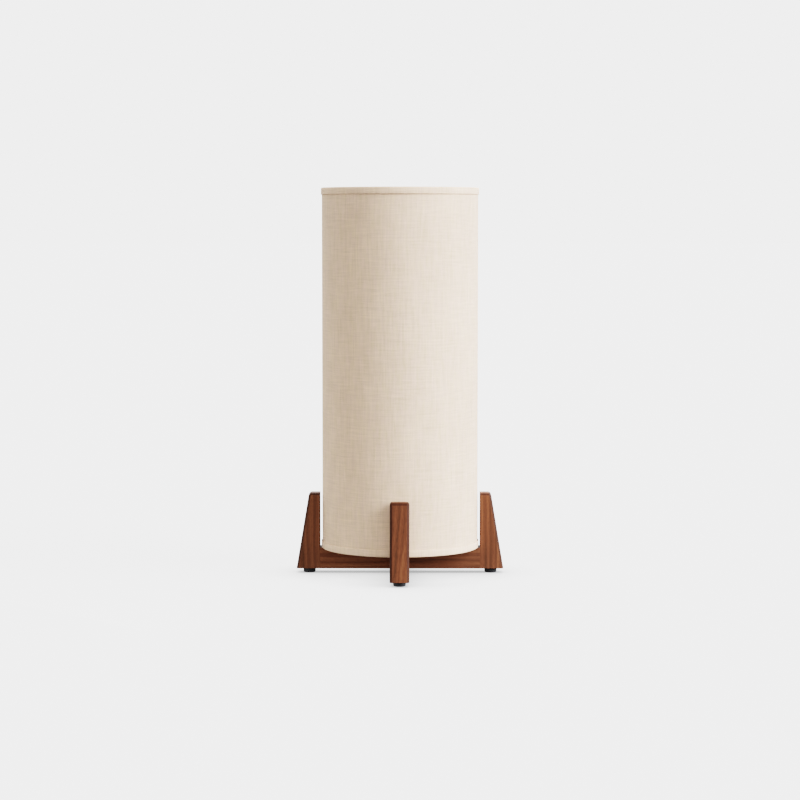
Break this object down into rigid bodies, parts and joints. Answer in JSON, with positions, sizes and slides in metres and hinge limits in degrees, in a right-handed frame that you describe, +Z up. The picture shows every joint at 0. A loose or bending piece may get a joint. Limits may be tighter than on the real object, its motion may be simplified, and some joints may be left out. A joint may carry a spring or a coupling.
{
  "type": "cylinder accent lamp",
  "caption": "Accent lamp: a tall linen cylinder shade set down between the upright legs of a crossed wooden stand.",
  "frame": {"origin": "on the floor, at the centre of the stand", "axes": "+Z up; one leg at each of +X, +Y, -X and -Y, with the front leg at -Y"},
  "size_m": [0.3282, 0.3282, 0.6095],
  "materials": {
    "walnut_stained_wood": "satin",
    "beech": "matte",
    "black_rubber": "matte",
    "zinc_plated_steel": "satin",
    "black_phenolic": "satin",
    "porcelain": "gloss",
    "brass": "satin",
    "circuit_board": "satin",
    "clear_glass": "gloss",
    "phosphor": "matte",
    "white_enamelled_steel": "satin",
    "white_styrene": "matte",
    "natural_linen": "matte",
    "linen_hem_tape": "matte"
  },
  "bodies": {
    "stand": {"rail_side_to_side": "walnut_stained_wood", "rail_front_to_back": "walnut_stained_wood", "leg_right": "walnut_stained_wood", "leg_back": "walnut_stained_wood", "leg_left": "walnut_stained_wood", "leg_front": "walnut_stained_wood", "leg_dowels": "beech", "foot_right": "black_rubber", "foot_back": "black_rubber", "foot_left": "black_rubber", "foot_front": "black_rubber", "foot_screws": "zinc_plated_steel", "center_pipe": "zinc_plated_steel", "clamp_nut": "zinc_plated_steel", "clamp_washer": "zinc_plated_steel", "cord_bushing": "black_phenolic", "seat_plate": "zinc_plated_steel", "socket_cap": "black_phenolic", "socket_set_screw": "zinc_plated_steel", "socket_core": "porcelain", "socket_shell": "black_phenolic", "socket_screw_shell": "brass", "socket_contact": "brass", "terminal_screws": "brass"},
    "shade": {"fitter_ring": "white_enamelled_steel", "fitter_arms": "white_enamelled_steel", "shade_bottom_wire": "white_enamelled_steel", "shade_top_wire": "white_enamelled_steel", "shade_liner": "white_styrene", "shade_fabric": "natural_linen", "shade_bottom_trim": "linen_hem_tape", "shade_top_trim": "linen_hem_tape"},
    "bulb": {"bulb_contact": "zinc_plated_steel", "bulb_insulator": "black_phenolic", "bulb_cap": "zinc_plated_steel", "bulb_driver": "circuit_board", "bulb_glass": "clear_glass", "bulb_stem": "clear_glass", "bulb_filaments": "phosphor", "bulb_wires": "zinc_plated_steel"},
    "ring": {"retaining_ring": "black_phenolic"}
  },
  "joints": [
    {"name": "shade_lift", "type": "slide", "parent": "stand", "child": "shade", "axis": [0, 0, 1], "range_m": [0, 0.3]},
    {"name": "ring_unscrew", "type": "hinge", "parent": "shade", "child": "ring", "pos_m": [0, 0, 0.0755], "axis": [0, 0, 1], "range_deg": [0, 1260]},
    {"name": "bulb_unscrew", "type": "hinge", "parent": "stand", "child": "bulb", "pos_m": [0, 0, 0.088], "axis": [0, 0, 1], "range_deg": [0, 1260]}
  ]
}
